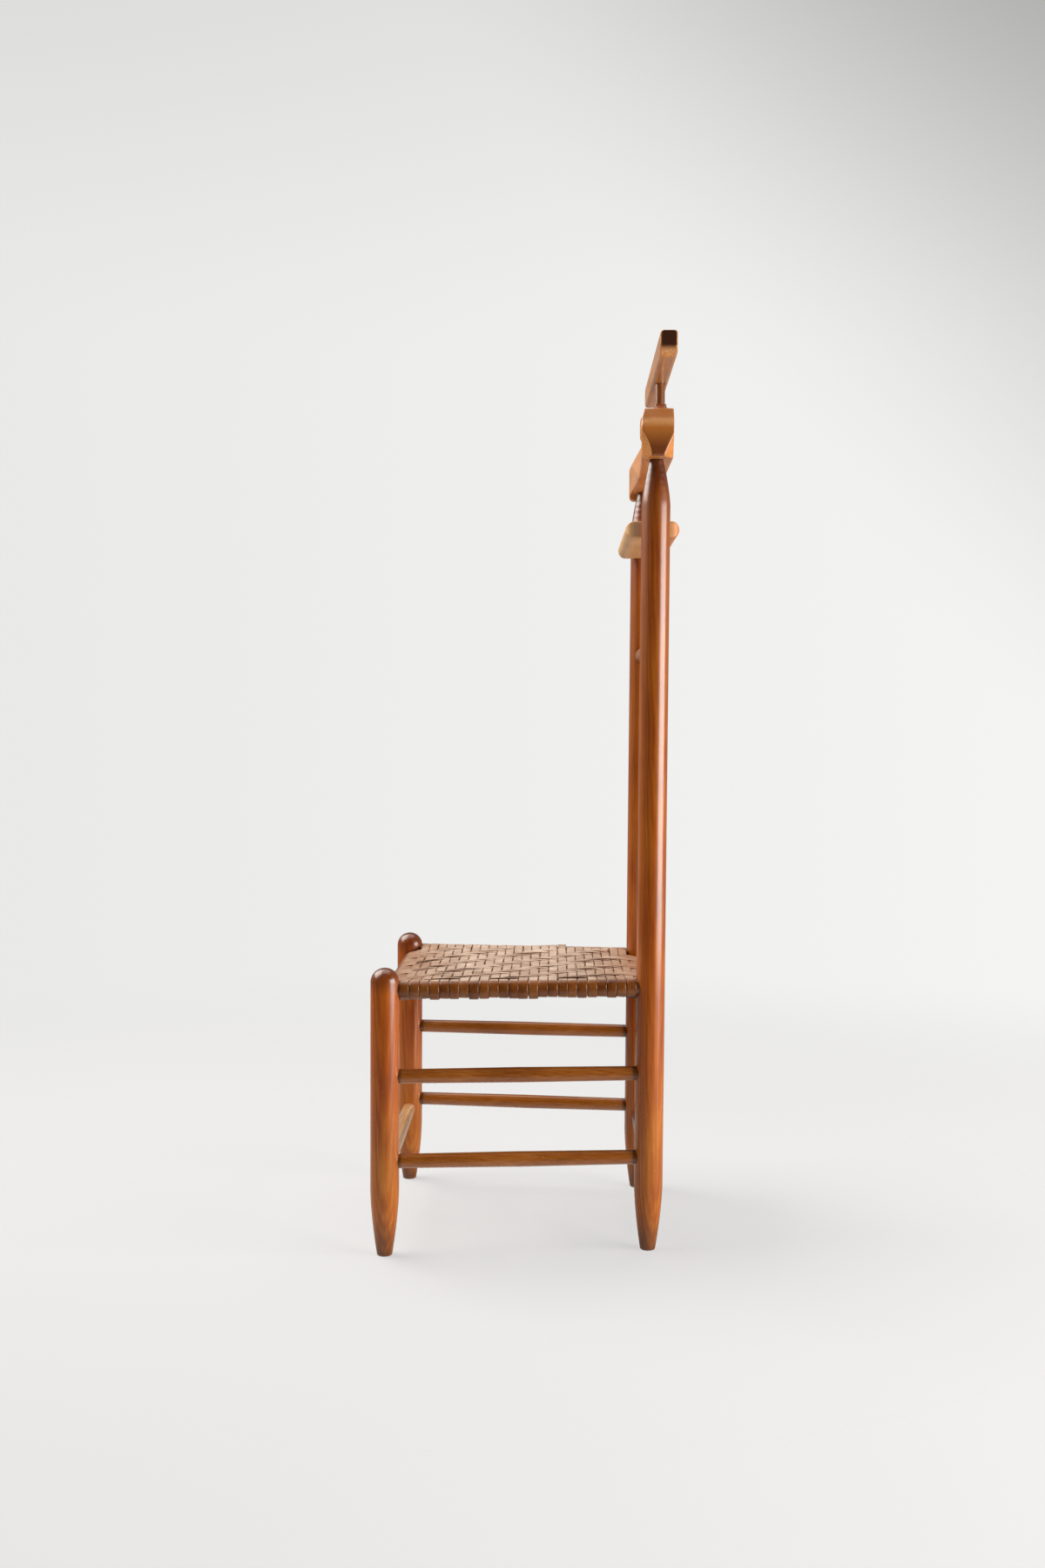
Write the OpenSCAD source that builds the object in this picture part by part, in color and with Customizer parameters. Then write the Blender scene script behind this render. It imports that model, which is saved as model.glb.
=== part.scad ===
// Valet chair: a four-post chair with a woven strip seat whose tall rear posts
// carry a trouser rail, a small tray, a carved shoulder yoke and a hanger bar.
// Millimetres. The chair faces -Y, Z is up, X = 0 is its plane of symmetry and
// its own left side is +X. The feet stand on Z = 0.

/* [Posts] */
// Diameter of the four turned posts
post_d = 45; // [40:0.5:50]
// Distance between the two front post axes
front_w = 450; // [420:1:490]
// Distance between the two rear post axes
rear_w = 364; // [340:1:390]
// Distance from the front post axes to the rear post axes at the floor
depth = 412.5; // [390:0.5:440]
// Height of the front posts at the crown of the dome
front_h = 450; // [446:1:470]
// Height of the rear posts at the shoulder under the yoke
rear_h = 1241; // [1215:1:1270]
// Backward lean of the rear posts in degrees
rake = 0.28; // [0:0.02:0.8]
// Diameter of a foot where it meets the floor
foot_d = 24; // [18:0.5:32]
// Height over which a post narrows to its foot
foot_h = 105; // [60:1:115]
// Diameter of the rear posts right under the yoke
neck_d = 22; // [19:0.5:28]
// Height over which a rear post narrows to that neck
neck_h = 72; // [50:1:80]

/* [Stretchers] */
// Diameter of a stretcher at its middle
rung_d = 24; // [20:0.5:28]
// Diameter of a stretcher where it meets a post
rung_end_d = 22; // [18:0.5:24]
// Axis height of the two upper side stretchers
rung_upper_z = 280; // [230:1:320]
// Axis height of the two lower side stretchers
rung_lower_z = 147; // [146:1:165]
// Axis height of the front and rear stretchers
rung_cross_z = 131; // [122:1:132]
// Diameter of the round tenons on stretchers
rung_tenon_d = 13; // [10:0.5:13.5]
// Depth a stretcher tenon goes into its post
rung_tenon_l = 20; // [12:0.5:24]

/* [Seat frame] */
// Depth of the side seat rails' axes under the crown of the front posts
seat_drop = 33.7; // [32:0.1:44]
// How much lower the front and rear seat rails lie than the side rails
cross_drop = 12; // [6:0.5:14]
// Diameter of the side seat rails
side_rail_d = 25; // [22:0.5:25]
// Diameter of the front and rear seat rails
cross_rail_d = 25; // [22:0.2:25]
// How far the front and rear rails sit inboard of the post axes
rail_inset = 7; // [4:0.5:10]
// Diameter of the round tenons on seat rails
rail_tenon_d = 14; // [12:0.5:14]
// Depth a seat rail tenon goes into its post
rail_tenon_l = 12; // [8:0.5:12]

/* [Woven seat] */
// Number of strips wound from side to side
weft_n = 24; // [20:1:24]
// Number of strips wound from front to rear at the front rail
warp_n = 26; // [22:2:26]
// Thickness of the strip
strip_t = 1.2; // [0.8:0.1:1.4]
// Slit left between neighbouring strips
strip_gap = 1.1; // [0.8:0.05:1.6]
// Inner radius of the strip where it turns round a rail
wrap_r = 12.6; // [12.6:0.1:13.8]
// Strips passed over, then under, in the twill
twill = 3; // [1:1:4]

/* [Trouser rail and tray] */
// Diameter of the trouser rail
trouser_d = 27; // [22:0.5:32]
// Depth of the trouser rail's axis under the upper face of the tray
trouser_drop = 197; // [150:1:260]
// Diameter of the tenons on the trouser rail and the tray
stub_d = 16; // [12:0.5:18]
// Depth those tenons go into the rear posts
stub_l = 18; // [12:0.5:20]
// Width of the tray from its front edge to its rear edge
tray_w = 85; // [70:1:105]
// Thickness of the tray
tray_t = 25.5; // [20:0.5:30]
// Depth of the upper face of the tray under the yoke
tray_drop = 93; // [86:1:130]
// Distance of the tray's middle in front of the post axes
tray_fwd = 3.5; // [0:0.5:12]
// Radius of the tray's corners in plan
tray_corner = 14; // [10:0.5:20]

/* [Yoke] */
// Length of the yoke
yoke_l = 440; // [425:1:460]
// Thickness of the yoke from front to rear at its ends
yoke_t = 50; // [48:0.5:54]
// Height of the yoke at its middle
yoke_h = 117; // [108:1:124]
// Height of the yoke at the ridge near its ends
yoke_ridge = 76; // [70:1:80]
// Height of the flat end face
yoke_end = 54; // [52:1:64]
// Length along the end's ridge of the small facet on each upper front corner
facet_w = 16; // [8:0.5:24]
// Radius of the shallow hollow of the whole front face, seen from above
face_r = 3600; // [2600:50:8000]
// Width of the flat crown that carries the dowel
crown_w = 56; // [48:1:70]
// Radius of the long hollow along the front of each arm
hollow_r = 300; // [220:5:400]
// Lean of that hollow, as rearward travel over height
hollow_lean = 0.243; // [0.2:0.005:0.27]
// Sweep of that hollow, as rearward travel over length
hollow_sweep = 0.128; // [0.1:0.002:0.14]
// Depth of that hollow at the middle of the underside
hollow_low = 5.5; // [3:0.5:8]
// Height at which the right arm's front starts to lean back
shear_z = 44.5; // [36:0.1:60]
// Lean of that slope from the horizontal in degrees
shear_a = 55.4; // [50:0.2:65]
// Diameter of the round boss left at the middle of the front
boss_d = 47; // [36:0.5:54]
// Height of that boss's middle above the underside
boss_z = 79; // [60:1:84]
// Distance of the boss's face behind the front of the yoke's ends
boss_back = 8.5; // [4:0.5:12]
// Radius of the boss's rounded rim
boss_rim = 10; // [4:0.5:14]
// Width of the keel left under each end
keel_w = 17; // [12:0.5:22]
// Distance of the keel behind the yoke's middle
keel_back = 0.5; // [0:0.5:2]
// Radius of the front cove beside the keel
cove_r = 100; // [80:5:140]
// Depth of the front cove's centre line under the yoke
cove_low = 9; // [4:1:20]
// Radius of the shallow rear cove beside the keel
cove_rear_r = 400; // [300:10:500]
// Depth of the rear cove's centre line under the yoke
cove_rear_low = 120; // [90:5:130]
// Length over which a cove runs out
cove_run = 22; // [16:1:30]
// Drop of the rounded lug under the right end
lug_drop = 12; // [6:0.5:16]

/* [Hanger bar] */
// Length of the hanger bar
bar_l = 446; // [400:1:470]
// Width of the hanger bar from front to rear
bar_w = 27; // [22:0.5:32]
// Height of the hanger bar's section
bar_h = 38; // [30:0.5:44]
// Clear height between the crown of the yoke and the hanger bar
bar_rise = 37; // [25:1:60]
// Radius of the bar's lower corners at each end
bar_end_r = 18; // [8:0.5:24]
// Radius of the bar's long edges
bar_edge_r = 5; // [2:0.5:8]
// Distance of the dowel and the bar behind the yoke's middle
bar_back = 16; // [10:0.5:16.5]
// Diameter of the dowel that carries the bar
dowel_d = 16; // [12:0.5:18]
// Depth the dowel goes into the yoke
dowel_low = 40; // [20:1:50]
// Depth the dowel goes into the bar
dowel_high = 22; // [12:1:28]

/* [Fits] */
// Radial clearance of a tenon in its mortise
fit = 0.1; // [0.05:0.05:0.3]
// Free length left at the bottom of a mortise
end_fit = 1; // [0.5:0.5:2]
// Clearance between faces that meet
seam = 0.05; // [0.02:0.01:0.3]

/* [Hidden] */
$fn = 96;
post_r = post_d / 2;
seat_z = front_h - seat_drop;
cross_z = seat_z - cross_drop;
tray_z = rear_h - tray_drop;
trouser_z = tray_z - trouser_drop;
bar_z = rear_h + yoke_h + bar_rise + bar_h;
tray_mid_z = tray_z - tray_t / 2;
lean = tan(rake);
total_y = post_r + depth + tray_mid_z * lean - tray_fwd + tray_w / 2;
front_y = post_r - total_y / 2;
rear_y = front_y + depth;
splay = (front_w - rear_w) / 2 / (depth + seat_z * lean);
wrap_out = wrap_r + strip_t;
level = wrap_r + strip_t / 2;
lift = strip_t / 2 + seam;
front_rail_y = front_y + rail_inset;
rear_rail_y = rear_at(cross_z) - rail_inset;
weft_y0 = front_y + post_r + 0.3;
weft_pitch = (rear_at(seat_z) - post_r - 0.3 - weft_y0) / weft_n;
warp_pitch = (front_w - post_d - 0.6) / warp_n;
weft_w = weft_pitch - strip_gap;
warp_w = warp_pitch - strip_gap;
yoke_y = rear_at(rear_h);
post_tenon_d = 16;
post_tenon_l = 34;
wood = [0.50, 0.24, 0.11];
wood_dark = [0.42, 0.20, 0.10];
hide = [0.33, 0.17, 0.11];

// where the rear post axis is at height z
function rear_at(z) = rear_y + z * tan(rake);

// 0 to 1 with a convex start, for the swelling of feet and necks
function swell(t, p) = 1 - pow(1 - t, p);

// distance from a post's axis at which a tenon of a member offset by off stops
function reach(off, l) = sqrt(post_r * post_r - off * off) - l;

// puts children, drawn up from the origin along Z, on the line from a to b
module along(a, b) {
    v = b - a;
    translate(a)
    rotate([0, acos(v.z / norm(v)), atan2(v.y, v.x)])
    children();
}

// tenon of radius r from one post to the other, grown by g all round
module tenon(a, b, r, stop, g = 0, tip = 0) {
    along(a, b)
    translate([0, 0, stop - tip])
    cylinder(r = r + g, h = norm(b - a) - 2 * (stop - tip));
}

// posts
foot_points = [for (i = [0 : 10])
    [foot_d / 2 + (post_r - foot_d / 2) * swell(i / 10, 1.6), 1.5 + (foot_h - 1.5) * i / 10]];
neck_points = [for (i = [0 : 12])
    [neck_d / 2 + (post_r - neck_d / 2) * swell(1 - i / 12, 1.45), rear_h - neck_h * (1 - i / 12)]];

module front_blank() {
    dome_z = front_h - post_r;
    rotate_extrude() {
        polygon(concat([[0, 0], [foot_d / 2 - 1.5, 0]], foot_points, [[post_r, dome_z], [0, dome_z]]));
        intersection() {
            translate([0, dome_z])
            circle(r = post_r);
            translate([0, dome_z - 1])
            square([post_r, post_r + 1]);
        }
    }
}

module rear_blank() {
    rotate_extrude()
    polygon(concat(
        [[0, -5], [foot_d / 2 - 1.5, -5], [foot_d / 2 - 1.5, 0]], foot_points, neck_points,
        [[post_tenon_d / 2, rear_h], [post_tenon_d / 2, rear_h + post_tenon_l - 1.5],
         [post_tenon_d / 2 - 1.5, rear_h + post_tenon_l], [0, rear_h + post_tenon_l]]));
}

// puts children on the axis of the front post on side s
module at_front(s) {
    translate([s * front_w / 2, front_y, 0])
    children();
}

// puts children on the leaning axis of the rear post on side s
module at_rear(s) {
    translate([s * rear_w / 2, rear_y, 0])
    rotate([-rake, 0, 0])
    children();
}

// room kept clear for all four posts, so that shoulders are coped to them
module post_room(h0, h1) {
    for (s = [-1, 1]) {
        at_front(s)
        translate([0, 0, h0])
        cylinder(r = post_r + seam, h = h1 - h0);
        at_rear(s)
        translate([0, 0, h0])
        cylinder(r = post_r + seam, h = h1 - h0);
    }
}

// end points of the members between posts, on side s at height z
function side_a(s, z) = [s * front_w / 2, front_y, z];
function side_b(s, z) = [s * rear_w / 2, rear_at(z), z];
function cross_a(w, y, z) = [-w / 2, y, z];
function cross_b(w, y, z) = [w / 2, y, z];

// every mortise that side members cut into the posts of side s
module side_mortises(s) {
    for (z = [rung_upper_z, rung_lower_z])
        tenon(side_a(s, z), side_b(s, z), rung_tenon_d / 2, reach(0, rung_tenon_l), fit, end_fit);
    tenon(side_a(s, seat_z), side_b(s, seat_z), rail_tenon_d / 2, reach(0, rail_tenon_l), fit, end_fit);
}

module front_mortises() {
    tenon(cross_a(front_w, front_y, rung_cross_z), cross_b(front_w, front_y, rung_cross_z),
        rung_tenon_d / 2, reach(0, rung_tenon_l), fit, end_fit);
    tenon(cross_a(front_w, front_rail_y, cross_z), cross_b(front_w, front_rail_y, cross_z),
        rail_tenon_d / 2, reach(rail_inset, rail_tenon_l), fit, end_fit);
}

module rear_mortises() {
    y = rear_at(rung_cross_z);
    tenon(cross_a(rear_w, y, rung_cross_z), cross_b(rear_w, y, rung_cross_z),
        rung_tenon_d / 2, reach(0, rung_tenon_l), fit, end_fit);
    tenon(cross_a(rear_w, rear_rail_y, cross_z), cross_b(rear_w, rear_rail_y, cross_z),
        rail_tenon_d / 2, reach(rail_inset, rail_tenon_l), fit, end_fit);
    for (z = [trouser_z, tray_mid_z])
        tenon(cross_a(rear_w, rear_at(z), z), cross_b(rear_w, rear_at(z), z),
            stub_d / 2, reach(0, stub_l), fit, end_fit);
}

module front_post(s) {
    color(wood)
    difference() {
        at_front(s)
        front_blank();
        side_mortises(s);
        front_mortises();
    }
}

module rear_post(s) {
    color(wood)
    difference() {
        at_rear(s)
        rear_blank();
        translate([s * rear_w / 2 - 50, rear_y - 50, -20])
        cube([100, 100, 20]);
        side_mortises(s);
        rear_mortises();
    }
}

// round member from a to b, swelling from r_end to r_mid, coped to the posts
module spindle(a, b, r_end, r_mid, r_tenon, stop) {
    half = norm(b - a) / 2;
    color(wood)
    union() {
        difference() {
            along(a, b) {
                cylinder(r1 = r_end, r2 = r_mid, h = half);
                translate([0, 0, half])
                cylinder(r1 = r_mid, r2 = r_end, h = half);
            }
            post_room(a.z - 60, a.z + 60);
        }
        tenon(a, b, r_tenon, stop);
    }
}

// plain round rail of one diameter
module straight_rail(a, b, r, r_tenon, stop) {
    color(wood)
    union() {
        difference() {
            along(a, b)
            cylinder(r = r, h = norm(b - a));
            post_room(a.z - 60, a.z + 60);
        }
        tenon(a, b, r_tenon, stop);
    }
}

module side_stretcher(s, z) {
    spindle(side_a(s, z), side_b(s, z),
        rung_end_d / 2, rung_d / 2, rung_tenon_d / 2, reach(0, rung_tenon_l));
}

module cross_stretcher(w, y) {
    spindle(cross_a(w, y, rung_cross_z), cross_b(w, y, rung_cross_z),
        rung_end_d / 2, rung_d / 2, rung_tenon_d / 2, reach(0, rung_tenon_l));
}

module side_rail(s) {
    straight_rail(side_a(s, seat_z), side_b(s, seat_z),
        side_rail_d / 2, rail_tenon_d / 2, reach(0, rail_tenon_l));
}

module cross_rail(w, y) {
    straight_rail(cross_a(w, y, cross_z), cross_b(w, y, cross_z),
        cross_rail_d / 2, rail_tenon_d / 2, reach(rail_inset, rail_tenon_l));
}

module trouser_rail() {
    y = rear_at(trouser_z);
    straight_rail(cross_a(rear_w, y, trouser_z), cross_b(rear_w, y, trouser_z),
        trouser_d / 2, stub_d / 2, reach(0, stub_l));
}

// woven seat
function weft_y(i) = weft_y0 + (i + 0.5) * weft_pitch;
function warp_x(j) = (j - (warp_n - 1) / 2) * warp_pitch;
function rail_x(y) = front_w / 2 - (y - front_y) * splay;

// rearmost point a strip at x can reach before it meets the wound side rail
function warp_stop(x) = min(
    rear_at(seat_z) - post_r - 6,
    front_y + (front_w / 2 - wrap_out - 1 - abs(x) - warp_w / 2) / splay);
function is_full(j) = abs(warp_x(j)) + warp_w / 2 < rear_w / 2 - post_r;

// 1 where weft i shows over warp j, -1 where it dives, 0 where they don't meet
function shows(i, j) =
    !is_full(j) && weft_y(i) + weft_w / 2 > warp_stop(warp_x(j)) ? 0
    : (i + j) % (2 * twill) < twill ? 1 : -1;

// 0 in the middle of the seat, 1 at a rail
function edge(t) = abs(t) < 0.55 ? 0 : pow((min(abs(t), 1) - 0.55) / 0.45, 1.5);

// how far the weave lies under the side rails' level: it saddles down to the cross rails
function sink(x, y) =
    let (mid = (front_rail_y + rear_rail_y) / 2, half = (rear_rail_y - front_rail_y) / 2)
    cross_drop * (1 + edge((y - mid) / half) - edge(x / rail_x(y))) / 2;

// corners [place, rise, shift] of a strip that rises and dips by lift at crossings
// c of half width h, where s says over or under and f how far the weave is shifted
function wave(c, s, f, h) = [for (k = [0 : len(c) - 1])
    let (a = max(k - 1, 0), b = min(k + 1, len(c) - 1))
    each [
        if (k == 0 || s[k] != s[a] || f[k] != f[a]) [c[k] - h, s[k] * lift, f[k]],
        if (k == len(c) - 1 || s[k] != s[b] || f[k] != f[b]) [c[k] + h, s[k] * lift, f[k]]
    ]];

// where a line from point p meets the circle of radius r about [u, 0] on side q,
// taken just inside it, so that line and circle cross instead of only touching
function touch(u, r, p, q) =
    let (d = [p.x - u, p.y], a = atan2(d.y, d.x) + q * acos(r / norm(d)))
    [u + (r - seam) * cos(a), (r - seam) * sin(a)];

// region inside the loop a strip makes from u0 to u1, out beyond its mid line
module loop_region(u0, u1, line, out, round_u1) {
    r = level + out;
    n = len(line);
    top = [for (p = line) [p.x, p[2] + p.y + r]];
    low = [for (k = [n - 1 : -1 : 0]) [line[k].x, line[k][2] - line[k].y - r]];
    polygon(concat(
        [touch(u0, r, top[0], 1)], top,
        round_u1
            ? [touch(u1, r, top[n - 1], -1), touch(u1, r, low[0], 1)]
            : [[u1, top[n - 1].y], [u1, low[0].y]],
        low, [touch(u0, r, low[n - 1], -1)]));
    translate([u0, 0])
    circle(r = r);
    if (round_u1)
        translate([u1, 0])
        circle(r = r);
}

// cross-section of a strip that goes round both rails, or ends open at u1
module loop(u0, u1, line, round_u1 = true) {
    difference() {
        loop_region(u0, u1, line, strip_t / 2, round_u1);
        loop_region(u0, u1 + (round_u1 ? 0 : 1), line, -strip_t / 2, round_u1);
    }
}

module weft() {
    color(hide)
    for (i = [0 : weft_n - 1]) {
        y = weft_y(i);
        met = [for (j = [0 : warp_n - 1]) if (shows(i, j) != 0) j];
        line = wave([for (j = met) warp_x(j)], [for (j = met) shows(i, j)],
            [for (j = met) -sink(warp_x(j), y)], warp_w / 2);
        translate([0, y, seat_z])
        rotate([90, 0, 0])
        linear_extrude(height = weft_w, center = true)
        loop(-rail_x(y), rail_x(y), line);
    }
}

function warp_line(j, n) = wave([for (i = [0 : n - 1]) weft_y(i)],
    [for (i = [0 : n - 1]) -shows(i, j)],
    [for (i = [0 : n - 1]) cross_drop - sink(warp_x(j), weft_y(i))], weft_w / 2);

module warp_at(j) {
    translate([warp_x(j), 0, cross_z])
    rotate([90, 0, 90])
    linear_extrude(height = warp_w, center = true)
    children();
}

module warp() {
    color(hide)
    for (j = [0 : warp_n - 1])
        if (is_full(j))
            warp_at(j)
            loop(front_rail_y, rear_rail_y, warp_line(j, weft_n));
}

// strips beside the full ones, tucked in where they reach the side rail
module short_warp(s) {
    color(hide)
    for (j = [0 : warp_n - 1]) {
        stop = warp_stop(warp_x(j));
        n = len([for (i = [0 : weft_n - 1]) if (weft_y(i) + weft_w / 2 <= stop) i]);
        if (!is_full(j) && s * warp_x(j) > 0 && n > 0)
            warp_at(j)
            loop(front_rail_y, weft_y(n - 1) + weft_w / 2 + strip_gap / 2, warp_line(j, n), false);
    }
}

// tray: a board with rounded edges, its ends coped to the rear posts
module tray() {
    l = rear_w - post_d + 16;
    y = rear_at(tray_mid_z);
    color(wood_dark)
    union() {
        difference() {
            translate([0, y - tray_fwd, tray_mid_z])
            intersection() {
                rotate([90, 0, 90])
                linear_extrude(height = l, center = true) {
                    square([tray_w - tray_t, tray_t], center = true);
                    for (s = [-1, 1])
                        translate([s * (tray_w - tray_t) / 2, 0])
                        circle(r = tray_t / 2);
                }
                linear_extrude(height = tray_t + 2, center = true) {
                    square([l - 2 * tray_corner, tray_w], center = true);
                    square([l, tray_w - 2 * tray_corner], center = true);
                    for (sx = [-1, 1], sy = [-1, 1])
                        translate([sx * (l / 2 - tray_corner), sy * (tray_w / 2 - tray_corner)])
                        circle(r = tray_corner);
                }
            }
            post_room(tray_z - 60, tray_z + 60);
        }
        tenon(cross_a(rear_w, y, tray_mid_z), cross_b(rear_w, y, tray_mid_z),
            stub_d / 2, reach(0, stub_l));
    }
}

// yoke: drawn about its own middle, standing on its underside
ridge_x = yoke_l / 2 - 15;
arm_points = [for (i = [0 : 10])
    [ridge_x - (ridge_x - crown_w / 2) * i / 10,
     yoke_ridge + (yoke_h - yoke_ridge - 4) * pow(i / 10, 1.5)]];

// front view of the right half
module yoke_outline() {
    polygon(concat(
        [[0, 0], [yoke_l / 2 - 5, 0], [yoke_l / 2 - 1, 1.5], [yoke_l / 2, 5],
         [yoke_l / 2, yoke_end]],
        arm_points,
        [[crown_w / 2 - 1, yoke_h - 1], [crown_w / 2 - 4, yoke_h], [0, yoke_h]]));
}

// long hollow that carries the front of an arm back towards the middle
module arm_hollow() {
    half = yoke_h / 2 - 4;
    c = sqrt(hollow_r * hollow_r - half * half);
    nrm = sqrt(1 + hollow_lean * hollow_lean);
    cy = -yoke_t / 2 + hollow_lean * half - c / nrm + hollow_low;
    cz = half + c * hollow_lean / nrm;
    x0 = -0.3 * ridge_x;
    x1 = yoke_l / 2 + 40;
    along([x0, cy - x0 * hollow_sweep, cz], [x1, cy - x1 * hollow_sweep, cz])
    cylinder(r = hollow_r, h = (x1 - x0) * sqrt(1 + hollow_sweep * hollow_sweep));
}

// shallow hollow of the front face, deepest at the middle
module face_hollow() {
    half = yoke_l / 2 - 5;
    translate([0, -yoke_t / 2 - sqrt(face_r * face_r - half * half), -5])
    cylinder(r = face_r, h = yoke_h + 10, $fn = 720);
}

// slope that carries the upper front of the right arm back up to its end
module shear() {
    translate([-yoke_l / 2 - 5, -yoke_t / 2, shear_z])
    rotate([shear_a, 0, 0])
    translate([0, -10, 0])
    cube([165, 70, 50]);
}

// cove under an end, on side f of the keel: -1 in front, 1 behind
module end_cove(f) {
    r = f < 0 ? cove_r : cove_rear_r;
    low = f < 0 ? cove_low : cove_rear_low;
    y_end = keel_back + f * keel_w / 2;
    slope = (yoke_t / 2 - abs(y_end)) / cove_run;
    back = cove_run + 15;
    along([yoke_l / 2 - back, y_end + f * slope * back, 0], [yoke_l / 2 + 10, y_end - f * slope * 10, 0])
    rotate([0, 0, 90])
    linear_extrude(height = (back + 10) * sqrt(1 + slope * slope))
    intersection() {
        translate([f * sqrt(r * r - low * low), -low])
        circle(r = r, $fn = 360);
        translate([f < 0 ? -60 : 0, -20])
        square([60, 90]);
    }
}

// round boss at the middle of the front, proud of the hollows
module boss() {
    root = yoke_t / 2 - 8;
    l = root + yoke_t / 2 - boss_back;
    translate([0, root, boss_z])
    rotate([90, 0, 0])
    rotate_extrude() {
        square([boss_d / 2, l - boss_rim]);
        square([boss_d / 2 - boss_rim, l]);
        translate([boss_d / 2 - boss_rim, l - boss_rim])
        intersection() {
            circle(r = boss_rim);
            square(boss_rim);
        }
    }
}

// rounded lug that hangs from the front edge of the right end
module lug() {
    r = 8;
    w = 13;
    translate([-yoke_l / 2 + 22, -yoke_t / 2, -lug_drop])
    rotate([90, 0, -90])
    linear_extrude(height = 20) {
        translate([-w, r])
        square([w, lug_drop + 10 - r]);
        translate([-w, 0])
        square([w - r, r]);
        translate([-r, r])
        circle(r = r);
    }
}

// small facet on the upper front corner of an end, from the ridge to the top edge
module end_facet() {
    translate([yoke_l / 2, -yoke_t / 2 + facet_w, yoke_end])
    rotate([0, 61, 0])
    rotate([11, 0, 0])
    translate([-40, -40, 0])
    cube([80, 80, 30]);
}

module yoke() {
    color(wood)
    difference() {
        translate([0, yoke_y, rear_h + seam])
        union() {
            difference() {
                union() {
                    for (s = [0, 1])
                        mirror([s, 0, 0])
                        difference() {
                            rotate([90, 0, 0])
                            linear_extrude(height = yoke_t, center = true)
                            yoke_outline();
                            arm_hollow();
                            face_hollow();
                            end_facet();
                        }
                    boss();
                }
                shear();
                for (f = [-1, 1])
                    end_cove(f);
                mirror([1, 0, 0])
                end_cove(1);
            }
            lug();
        }
        for (s = [-1, 1])
            at_rear(s)
            translate([0, 0, rear_h - 5])
            cylinder(r = post_tenon_d / 2 + fit, h = post_tenon_l + 5 + end_fit);
        translate([0, yoke_y + bar_back, rear_h + yoke_h - dowel_low - end_fit])
        cylinder(r = dowel_d / 2 + fit, h = dowel_low + 20);
    }
}

// hanger bar and the dowel that carries it
module bar_dowel() {
    z0 = rear_h + yoke_h - dowel_low;
    z1 = bar_z - bar_h + dowel_high;
    color(wood)
    translate([0, yoke_y + bar_back, z0])
    cylinder(r = dowel_d / 2, h = z1 - z0);
}

module hanger_bar() {
    color(wood_dark)
    difference() {
        translate([0, yoke_y + bar_back, bar_z - bar_h])
        intersection() {
            rotate([90, 0, 0])
            linear_extrude(height = bar_w, center = true)
            union() {
                translate([-bar_l / 2 + bar_end_r, 0])
                square([bar_l - 2 * bar_end_r, bar_end_r]);
                translate([-bar_l / 2, bar_end_r])
                square([bar_l, bar_h - bar_end_r]);
                for (s = [-1, 1])
                    translate([s * (bar_l / 2 - bar_end_r), bar_end_r])
                    circle(r = bar_end_r);
            }
            rotate([90, 0, 90])
            linear_extrude(height = bar_l, center = true)
            union() {
                translate([-bar_w / 2 + bar_edge_r, 0])
                square([bar_w - 2 * bar_edge_r, bar_h]);
                translate([-bar_w / 2, bar_edge_r])
                square([bar_w, bar_h - 2 * bar_edge_r]);
                for (sy = [-1, 1], sz = [0, 1])
                    translate([sy * (bar_w / 2 - bar_edge_r), bar_edge_r + sz * (bar_h - 2 * bar_edge_r)])
                    circle(r = bar_edge_r);
            }
        }
        translate([0, yoke_y + bar_back, bar_z - bar_h - 5])
        cylinder(r = dowel_d / 2 + fit, h = dowel_high + 5 + end_fit);
    }
}

front_post(1);  // front_post_left
front_post(-1);  // front_post_right
rear_post(1);  // rear_post_left
rear_post(-1);  // rear_post_right
side_stretcher(1, rung_upper_z);  // upper_stretcher_left
side_stretcher(-1, rung_upper_z);  // upper_stretcher_right
side_stretcher(1, rung_lower_z);  // lower_stretcher_left
side_stretcher(-1, rung_lower_z);  // lower_stretcher_right
cross_stretcher(front_w, front_y);  // front_stretcher
cross_stretcher(rear_w, rear_at(rung_cross_z));  // rear_stretcher
cross_rail(front_w, front_rail_y);  // seat_rail_front
cross_rail(rear_w, rear_rail_y);  // seat_rail_rear
side_rail(1);  // seat_rail_left
side_rail(-1);  // seat_rail_right
weft();  // seat_weft
warp();  // seat_warp
short_warp(1);  // seat_short_warp_left
short_warp(-1);  // seat_short_warp_right
trouser_rail();
tray();
yoke();
bar_dowel();
hanger_bar();
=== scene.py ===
import math
import random
from functools import partial

import bpy
import bmesh
from mathutils import Matrix, Vector


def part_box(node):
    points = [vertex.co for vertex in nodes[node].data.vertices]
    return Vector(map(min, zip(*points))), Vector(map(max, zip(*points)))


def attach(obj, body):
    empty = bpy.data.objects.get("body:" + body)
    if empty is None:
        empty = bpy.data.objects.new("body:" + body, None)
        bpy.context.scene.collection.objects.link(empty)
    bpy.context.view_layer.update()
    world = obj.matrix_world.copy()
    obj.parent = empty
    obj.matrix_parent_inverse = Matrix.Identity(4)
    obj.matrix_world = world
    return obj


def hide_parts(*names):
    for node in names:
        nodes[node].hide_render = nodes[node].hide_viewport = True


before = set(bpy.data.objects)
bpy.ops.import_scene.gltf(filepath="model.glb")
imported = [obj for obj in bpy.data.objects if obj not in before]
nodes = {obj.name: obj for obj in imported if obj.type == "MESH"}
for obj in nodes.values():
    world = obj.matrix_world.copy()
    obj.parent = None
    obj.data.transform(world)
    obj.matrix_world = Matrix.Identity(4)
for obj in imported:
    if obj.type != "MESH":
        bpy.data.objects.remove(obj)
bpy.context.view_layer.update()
print("frame loaded:", len(nodes), "nodes")


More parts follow.
